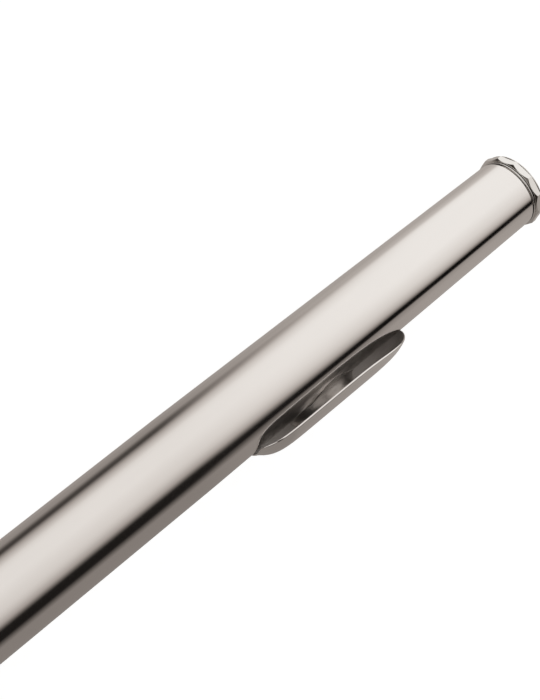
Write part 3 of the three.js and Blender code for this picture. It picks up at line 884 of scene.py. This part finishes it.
def post_grid(s, axis, around=40):
    """A turned post from the tube to a hinge axis: flared foot, waist, collar and ball."""
    reach, turn = math.hypot(*axis), math.atan2(axis[1], axis[0])
    foot = TUBE_RADIUS + 0.3
    t = np.linspace(-0.36 * np.pi, 0.5 * np.pi, 22)
    ball = np.stack([POST_BALL * np.cos(t), reach + POST_BALL * np.sin(t)], axis=1)
    ball[-1, 0] = 0
    neck = ball[0, 1]
    stem = rounded([(0, foot), (1.45, foot), (1.45, foot + 0.5), (0.85, foot + 0.9), (0.75, neck)], 0.2)
    rho, height = np.concatenate([stem, ball]).T
    spin = np.linspace(0, 2 * np.pi, around, endpoint=False)
    side = rho[:, None] * np.sin(spin)
    up = height[:, None] + 0 * side
    v = up * math.cos(turn) - side * math.sin(turn)
    w = up * math.sin(turn) + side * math.cos(turn)
    return loop_grid(place(s + rho[:, None] * np.cos(spin), v, w))


class PICCOLO_OT_ribs(bpy.types.Operator):
    """Make the ribs with the posts that stand on them"""

    bl_idname = "piccolo.ribs"
    bl_label = "Ribs and posts"

    def execute(self, context):
        ribs = {
            "main_rib": [(MAIN_POSTS, MAIN_AXIS), (TRILL_POSTS, TRILL_AXIS)],
            "thumb_rib": [(THUMB_POSTS, BACK_AXIS_PLACE)],
            "g_sharp_rib": [(G_SHARP_POSTS, BACK_AXIS_PLACE)],
        }
        for node, rows in ribs.items():
            posts = [post_grid(s, axis) for stations, axis in rows for s in stations]
            fit(node, [strap_grid(*RIB_SPANS[node], RIB_DEGREES[node]), *posts])
        return {"FINISHED"}


def rod_grid(start, end, axis):
    """A plain rod with rounded ends."""
    corners = [(start, 0), (start, ROD_RADIUS), (end, ROD_RADIUS), (end, 0)]
    return loop_grid(turned(rounded(corners, 0.1), axis, 32))


class PICCOLO_OT_rods(bpy.types.Operator):
    """Make the steel rods that the keys turn on"""

    bl_idname = "piccolo.rods"
    bl_label = "Rods"

    def execute(self, context):
        axes = {
            "left_hand_rod": MAIN_AXIS, "right_hand_rod": MAIN_AXIS, "d_sharp_rod": MAIN_AXIS,
            "thumb_rod": BACK_AXIS_PLACE, "g_sharp_rod": BACK_AXIS_PLACE,
        }
        for node, axis in axes.items():
            start, end = station(node, 0), station(node, 1)
            fit(node, [rod_grid(start, end, axis)])
        return {"FINISHED"}


# ---- the keys ----
class KeyPlace:
    """Where a key's shaped points go: turned to stand open about its hinge, then round the tube."""

    def __init__(self, axis, open_angle=0.0, turn=0.0):
        self.axis, self.open_angle, self.turn = axis, open_angle, turn

    def put(self, s, v, w):
        s, v, w = np.broadcast_arrays(s, v, w)
        v, w = turned_about(v, w, self.axis, self.open_angle)
        v, w = turned_about(v, w, (0, 0), self.turn)
        return place(s, v, w)


def hinge_grid(spot, start, end, around=48):
    """A hinge tube with a fine collar line near each end."""
    r = HINGE_RADIUS
    g = r - 0.09
    profile = rounded(
        [
            (start, 0.8), (start, r), (start + 0.75, r), (start + 0.85, g), (start + 0.95, r),
            (end - 0.95, r), (end - 0.85, g), (end - 0.75, r), (end, r), (end, 0.8),
        ],
        0.08, steps=3, loop=True,
    )
    s, radius = profile.T
    t = np.linspace(0, 2 * np.pi, around, endpoint=False)
    v = spot.axis[0] + radius[:, None] * np.cos(t)
    w = spot.axis[1] + radius[:, None] * np.sin(t)
    return ring_grid(spot.put(s[:, None] + 0 * v, v, w))


def disc_grid(spot, s, profile, around=72):
    """A profile of [radius, V] carried round a line that stands on the tube at S."""
    rho, height = np.asarray(profile, float).T
    t = np.linspace(0, 2 * np.pi, around, endpoint=False)
    rho = rho[:, None]
    return loop_grid(spot.put(s + rho * np.cos(t), height[:, None], rho * np.sin(t)))


def cup_profile(radius):
    """A key cup: hollow below for its pad, with a beaded edge, a shallow dish and a low boss."""
    top = CUP_EDGE + 1.95
    inner = radius - CUP_WALL
    sides = rounded(
        [
            (0, CUP_EDGE + 1.5), (inner, CUP_EDGE + 1.5), (inner, CUP_EDGE), (radius, CUP_EDGE),
            (radius, CUP_EDGE + 1.6), (radius - 0.3, top), (radius - 0.75, top),
            (radius - 1.1, top - 0.16), (radius * 0.45, top - 0.24),
        ],
        0.22,
    )
    t = np.linspace(0, 1, 9)[1:]
    boss = np.stack([radius * 0.45 * (1 - t), top - 0.24 + 0.24 * np.sin(t * np.pi / 2)], axis=1)
    return np.concatenate([sides, boss])


def pad_profile(radius):
    """A pad: felt under skin, its face pressed into a shallow ring where it meets the rim."""
    outer = radius - CUP_WALL - 0.03
    low, top = RIM_HEIGHT + PAD_GAP, CUP_EDGE + 1.45
    hole = (LARGE_HOLE if radius == LARGE_CUP else SMALL_HOLE) + CHIMNEY_WALL / 2
    rho = np.linspace(0, outer - 0.25, 40)
    press = 0.11 * np.exp(-(((rho - hole) / 0.22) ** 2))
    face = low + 0.05 - 0.05 * np.cos(rho / outer * np.pi / 2) + press
    t = np.linspace(0, np.pi / 2, 6)
    edge = np.stack([outer - 0.25 + 0.25 * np.sin(t), low + 0.3 - 0.25 * np.cos(t)], axis=1)
    return np.concatenate([np.stack([rho, face], axis=1), edge, [(outer, top), (0, top)]])


def arm_grid(spot, s, tip=0.9):
    """A cup's arm: up from the hinge tube, over and onto the cup, narrowing to a rounded tip."""
    v, w = spot.axis
    side, a = math.copysign(1, w), abs(w)
    way = [(a, v), (a - 0.05, 8.0), (a - 1.3, 9.7), (4.6, 10.42), (2.4, 10.42), (tip, 10.3)]
    path = smooth_path(way)
    k = np.linspace(0, 1, len(path))
    tip_round = np.sqrt(np.clip(1 - (np.maximum(k - 0.93, 0) / 0.075) ** 2, 0.02, 1))
    width = (0.85 - 0.3 * k) * tip_round
    height = 0.55 - 0.2 * k
    across, up, out = swept(path, width, height, corner=3.0)
    return loop_grid(spot.put(s + across, up, side * out))


def touch_grid(spot, s, points, width, thickness=0.42, root=0.3):
    """A finger touch: a plate swept along its side view, root wide at the hinge and full width
    with a rounded end where the finger presses."""
    path = smooth_path(points, 56)
    k = np.linspace(0, 1, len(path))
    step = np.clip((k - 0.25) / 0.25, 0, 1)
    grow = root + (1 - root) * step**2 * (3 - 2 * step)
    blunt = np.sqrt(np.clip(1 - (np.maximum(k - 0.8, 0) / 0.2) ** 2.6, 0.004, 1))
    across, up, out = swept(path, width / 2 * grow * blunt, thickness + 0 * k, corner=3.4, around=36)
    return loop_grid(spot.put(s + across, up, out))


def make_key(name, spot, span, radius, extra=()):
    """One key with its hinge tube, cups, arms and touches, and its pads."""
    pads = pad_nodes(name)
    grids = [hinge_grid(spot, *span), *extra]
    for node in pads:
        s = station(node, 0.5)
        grids += [disc_grid(spot, s, cup_profile(radius)), arm_grid(spot, s)]
        fit(node, [disc_grid(spot, s, pad_profile(radius))])
    fit(f"{name}_key", grids, 38)


class PICCOLO_OT_main_keys(bpy.types.Operator):
    """Make the open-standing keys of the main row"""

    bl_idname = "piccolo.main_keys"
    bl_label = "Main row keys"

    def execute(self, context):
        start = MAIN_POSTS[0] + POST_CLEAR
        for name, join in zip(MAIN_KEYS, MAIN_JOINS):
            gap = POST_CLEAR if join in MAIN_POSTS else KEY_GAP
            spot = KeyPlace(MAIN_AXIS, OPEN_ANGLE)
            make_key(name, spot, (start, join - gap), SMALL_CUP if name == "c" else LARGE_CUP)
            start = join + gap
        return {"FINISHED"}


TRILL_TOUCH = [(8.9, 2.3), (9.1, 3.6), (10.4, 5.0), (12.0, 5.7), (13.2, 5.8)]
D_SHARP_TOUCH = [(7.6, 5.2), (8.6, 6.4), (11.0, 7.0), (13.4, 7.05), (15.1, 6.8)]
G_SHARP_TOUCH = [(9.6, -1.5), (11.4, -1.3), (12.3, 0.4), (12.3, 2.6), (12.15, 4.8), (12.0, 6.7)]
THUMB_TOUCH = [(-1.0, 10.6), (2.4, 10.75), (5.2, 10.7), (7.2, 10.2), (8.5, 9.6)]
TRILL_SPLIT = 255.6
TRILL_TOUCHES = (252.8, 267.3)
TRILL_WIDTH = 4.1


class PICCOLO_OT_closed_keys(bpy.types.Operator):
    """Make the closed-standing keys: both trills, D sharp and G sharp"""

    bl_idname = "piccolo.closed_keys"
    bl_label = "Trill and little finger keys"

    def execute(self, context):
        upper, lower = TRILL_POSTS
        trill = KeyPlace(TRILL_AXIS)
        touch = touch_grid(trill, TRILL_TOUCHES[0], TRILL_TOUCH, TRILL_WIDTH)
        make_key("d_trill", trill, (141.2, TRILL_SPLIT - KEY_GAP), SMALL_CUP, [touch])
        extra = [
            touch_grid(trill, TRILL_TOUCHES[1], TRILL_TOUCH, TRILL_WIDTH),
            hinge_grid(trill, TRILL_SPLIT + KEY_GAP, lower - POST_CLEAR),
            rod_grid(upper - 1.3, lower + 1.3, TRILL_AXIS),
        ]
        make_key("d_sharp_trill", trill, (upper + POST_CLEAR, 141.0), SMALL_CUP, extra)
        main = KeyPlace(MAIN_AXIS)
        span = (MAIN_POSTS[2] + POST_CLEAR, MAIN_POSTS[3] - POST_CLEAR)
        touch = touch_grid(main, station("d_sharp_pad", 0.5), D_SHARP_TOUCH, 8.4)
        make_key("d_sharp", main, span, LARGE_CUP, [touch])
        back = KeyPlace(BACK_AXIS, turn=BACK_TURN)
        touch = touch_grid(KeyPlace((0, 0)), 219.8, G_SHARP_TOUCH, 7.8)
        span = (G_SHARP_POSTS[0] + POST_CLEAR, G_SHARP_POSTS[1] - POST_CLEAR)
        make_key("g_sharp", back, span, LARGE_CUP, [touch])
        return {"FINISHED"}


class PICCOLO_OT_thumb_keys(bpy.types.Operator):
    """Make the left thumb's B key and B flat lever"""

    bl_idname = "piccolo.thumb_keys"
    bl_label = "Thumb keys"

    def execute(self, context):
        first, last = THUMB_POSTS
        split, lever = 185.1, 188.2
        back = KeyPlace(BACK_AXIS, -OPEN_ANGLE, BACK_TURN)
        touch = touch_grid(back, station("thumb_b_pad", 0.5), THUMB_TOUCH, 5.5, root=0.6)
        make_key("thumb_b", back, (first + POST_CLEAR, split - KEY_GAP), LARGE_CUP, [touch])
        extra = [arm_grid(back, lever, tip=-0.4), touch_grid(back, lever, THUMB_TOUCH, 5.5, root=0.6)]
        make_key("thumb_b_flat", back, (split + KEY_GAP, last - POST_CLEAR), LARGE_CUP, extra)
        return {"FINISHED"}


# ---- finishes and stage ----
class FinishSettings(bpy.types.PropertyGroup):
    satin: FloatVectorProperty(
        name="Satin silver", description="Colour of the brushed tubes", subtype="COLOR",
        default=(0.90, 0.875, 0.855), min=0, max=1,
    )
    satin_roughness: FloatProperty(
        name="Satin roughness", description="Mean roughness of the brushed tubes", subtype="FACTOR",
        default=0.115, min=0, max=1,
    )
    polished: FloatVectorProperty(
        name="Polished silver", description="Colour of the polished parts", subtype="COLOR",
        default=(0.91, 0.895, 0.875), min=0, max=1,
    )
    polished_roughness: FloatProperty(
        name="Polished roughness", description="Least roughness of the polished parts", subtype="FACTOR",
        default=0.07, min=0, max=1,
    )
    steel: FloatVectorProperty(
        name="Steel", description="Colour of the rods", subtype="COLOR",
        default=(0.56, 0.57, 0.58), min=0, max=1,
    )
    cork: FloatVectorProperty(
        name="Cork", description="Colour of the head cork", subtype="COLOR",
        default=(0.50, 0.31, 0.15), min=0, max=1,
    )
    pad: FloatVectorProperty(
        name="Pad skin", description="Colour of the pads", subtype="COLOR",
        default=(0.74, 0.52, 0.26), min=0, max=1,
    )


class StageSettings(bpy.types.PropertyGroup):
    focal_length: FloatProperty(
        name="Focal length", description="Camera lens", subtype="DISTANCE_CAMERA", default=61.7, min=10,
    )
    white: FloatProperty(
        name="Paper brightness", description="How bright the floor looks", subtype="FACTOR",
        default=0.95, min=0, max=1,
    )


CAMERA_TURN = math.radians(122.7)
CAMERA_SPOT = (43.724, 83.884, 140.053)
CAMERA_RIGHT = (0.7284, -0.3771, 0.5721)
CAMERA_UP = (0.5754, 0.7900, -0.2118)


def make_camera(settings):
    camera = bpy.data.objects.new("camera", bpy.data.cameras.new("camera"))
    camera.data.lens = settings.focal_length
    camera.data.sensor_width = 36
    camera.data.clip_start, camera.data.clip_end = 0.005, 20
    right = Vector(CAMERA_RIGHT).normalized()
    up = Vector(CAMERA_UP).normalized()
    back = right.cross(up)
    turn = Matrix((right, up, back)).transposed().to_4x4()
    camera.matrix_world = Matrix.Translation(Vector(CAMERA_SPOT) * MM) @ turn
    bpy.context.scene.collection.objects.link(camera)
    bpy.context.scene.camera = camera


# Brightness of the room at angles round the tube, in degrees from the camera's side: a broad soft
# box with a black gap at one side, towards the foot a dark gap at the other side too, and grey
# beyond. The levels follow the bands on the photo's tube. They were measured there, changed,
# and then cut to these stops and rounded.
CROWN_BANDS = [
    (-180, 0.4), (-130, 0.42), (-107, 0.55), (-94, 0.87), (-80, 0.93), (0, 0.92), (20, 0.84),
    (40, 0.74), (53, 0.59), (60, 0.48), (65, 0.34), (73, 0), (84, 0), (88, 0.3), (105, 0.36),
    (180, 0.36),
]
FOOT_BANDS = [
    (-180, 0.36), (-120, 0.27), (-105, 0.06), (-96, 0.05), (-83, 0.39), (-62, 0.77), (-50, 0.83),
    (-20, 0.83), (20, 0.7), (30, 0.6), (44, 0.38), (53, 0.1), (58, 0.01), (78, 0.01), (88, 0.13),
    (97, 0.23), (180, 0.23),
]
BLACK_BAND_SHIFT = 11.5             # degrees from the foot's black band to the crown's
FOOT_TO_CROWN = (0.27, 0.52)        # lengthwise parts over which the foot's bands fade out
DARK_WINDOW = (0.02, 0.018, 0.016, 1)
DIM_TINT, BRIGHT_TINT = (1.13, 0.99, 0.90, 1), (1.01, 1.0, 0.98, 1)


def stops(bands):
    """Colour ramp stops from levels at degrees."""
    return [((degrees + 180) / 360, (level, level, level)) for degrees, level in bands]


def make_studio_light():
    """The room as the metal sees it: the angle round the tube, from the camera's side, picks
    the soft box, the dark gap beside it or the grey surround."""
    world = bpy.data.worlds.new("studio")
    bpy.context.scene.world = world
    world.use_nodes = True
    graph = Graph(world.node_tree)
    direction = graph.add("ShaderNodeTexCoord", output="Generated")
    c, s = -math.cos(CAMERA_TURN), math.sin(CAMERA_TURN)

    def along(vector):
        settings = {"operation": "DOT_PRODUCT"}
        return graph.add("ShaderNodeVectorMath", settings, {0: direction, 1: vector}, output="Value")

    front, side, lengthwise = along((0, c, s)), along((0, -s, c)), along((1, 0, 0))
    angle = side.math("ARCTAN2", front) * (0.5 / math.pi) + 0.5
    crownward = graph.ramp(lengthwise, *FOOT_TO_CROWN)
    shift = graph.ramp(angle, 200 / 360, 230 / 360) * (BLACK_BAND_SHIFT / 360)
    crown_end, foot_end = (
        graph.add("ShaderNodeValToRGB", {"stops": stops(bands)}, {"Fac": angle + shift * away})
        for bands, away in ((CROWN_BANDS, 1 - crownward), (FOOT_BANDS, crownward * -1)))
    level = graph.mix(crownward, foot_end, crown_end)
    window = graph.ramp(lengthwise, -0.06, -0.18) * graph.ramp(lengthwise, -0.48, -0.4)
    level = graph.mix(window * graph.ramp(front, 0.0, 0.3), level, DARK_WINDOW)
    bands = graph.product(level, graph.mix(level, DIM_TINT, BRIGHT_TINT))
    seen = graph.add("ShaderNodeLightPath", output="Is Camera Ray")
    shown = graph.mix(seen, bands, (1, 1, 1, 1))
    light = graph.add("ShaderNodeBackground", None, {"Color": shown, "Strength": 1.0})
    graph.node("ShaderNodeOutputWorld", None, {"Surface": light})


def make_floor(settings):
    """A white paper floor that the metal doesn't mirror, mostly even with a faint shadow."""
    size = 1.6
    mesh = bpy.data.meshes.new("floor")
    corners = [(-size, -size, 0), (size, -size, 0), (size, size, 0), (-size, size, 0)]
    mesh.from_pydata([Vector(c) - Vector((0, 0, 0.0002)) for c in corners], [], [(0, 1, 2, 3)])
    floor = bpy.data.objects.new("floor", mesh)
    bpy.context.scene.collection.objects.link(floor)
    material = bpy.data.materials.new("paper")
    material.use_nodes = True
    graph = Graph(material.node_tree)
    fibre = graph.noise((400, 400, 400), detail=3)
    tone = graph.mix(fibre, (0.95, 0.95, 0.95, 1), (1, 1, 1, 1))
    paper = graph.add("ShaderNodeBsdfDiffuse", None, {"Color": tone})
    shaded = 0.25
    strength = settings.white / (1 - shaded)
    glow = graph.add("ShaderNodeEmission", None, {"Color": tone, "Strength": strength})
    both = graph.add("ShaderNodeMixShader", None, {0: shaded, 1: glow, 2: paper})
    graph.node("ShaderNodeOutputMaterial", None, {"Surface": both})
    mesh.materials.append(material)
    floor.visible_glossy = False


class PICCOLO_OT_stage(bpy.types.Operator):
    """Make the floor, the studio light and the camera"""

    bl_idname = "piccolo.stage"
    bl_label = "Stage"

    def execute(self, context):
        settings = context.scene.piccolo_stage
        make_camera(settings)
        make_studio_light()
        make_floor(settings)
        context.scene.view_settings.view_transform = "Standard"
        return {"FINISHED"}


OPERATORS = [
    PICCOLO_OT_stage, PICCOLO_OT_head_tube, PICCOLO_OT_lip_plate, PICCOLO_OT_crown, PICCOLO_OT_cork,
    PICCOLO_OT_body, PICCOLO_OT_ribs, PICCOLO_OT_rods, PICCOLO_OT_main_keys, PICCOLO_OT_closed_keys,
    PICCOLO_OT_thumb_keys,
]


SETTINGS = {
    "piccolo_head": HeadSettings,
    "piccolo_finish": FinishSettings,
    "piccolo_stage": StageSettings,
}


class PICCOLO_PT_panel(bpy.types.Panel):
    """The piccolo's pieces and settings"""

    bl_idname = "PICCOLO_PT_panel"
    bl_label = "Piccolo"
    bl_space_type = "VIEW_3D"
    bl_region_type = "UI"
    bl_category = "Piccolo"

    def draw(self, context):
        for group in (getattr(context.scene, name) for name in SETTINGS):
            for name in group.bl_rna.properties.keys():
                if name not in ("rna_type", "name"):
                    self.layout.prop(group, name)
        for operator in OPERATORS:
            self.layout.operator(operator.bl_idname)


def register():
    for cls in [*SETTINGS.values(), *OPERATORS, PICCOLO_PT_panel]:
        bpy.utils.register_class(cls)
    for name, group in SETTINGS.items():
        setattr(bpy.types.Scene, name, PointerProperty(type=group))


def unregister():
    for name in SETTINGS:
        delattr(bpy.types.Scene, name)
    for cls in [PICCOLO_PT_panel, *OPERATORS[::-1], *SETTINGS.values()]:
        bpy.utils.unregister_class(cls)


def main():
    register()
    for operator in OPERATORS:
        group, name = operator.bl_idname.split(".")
        getattr(getattr(bpy.ops, group), name)()
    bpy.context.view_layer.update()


if __name__ == "__main__":
    main()
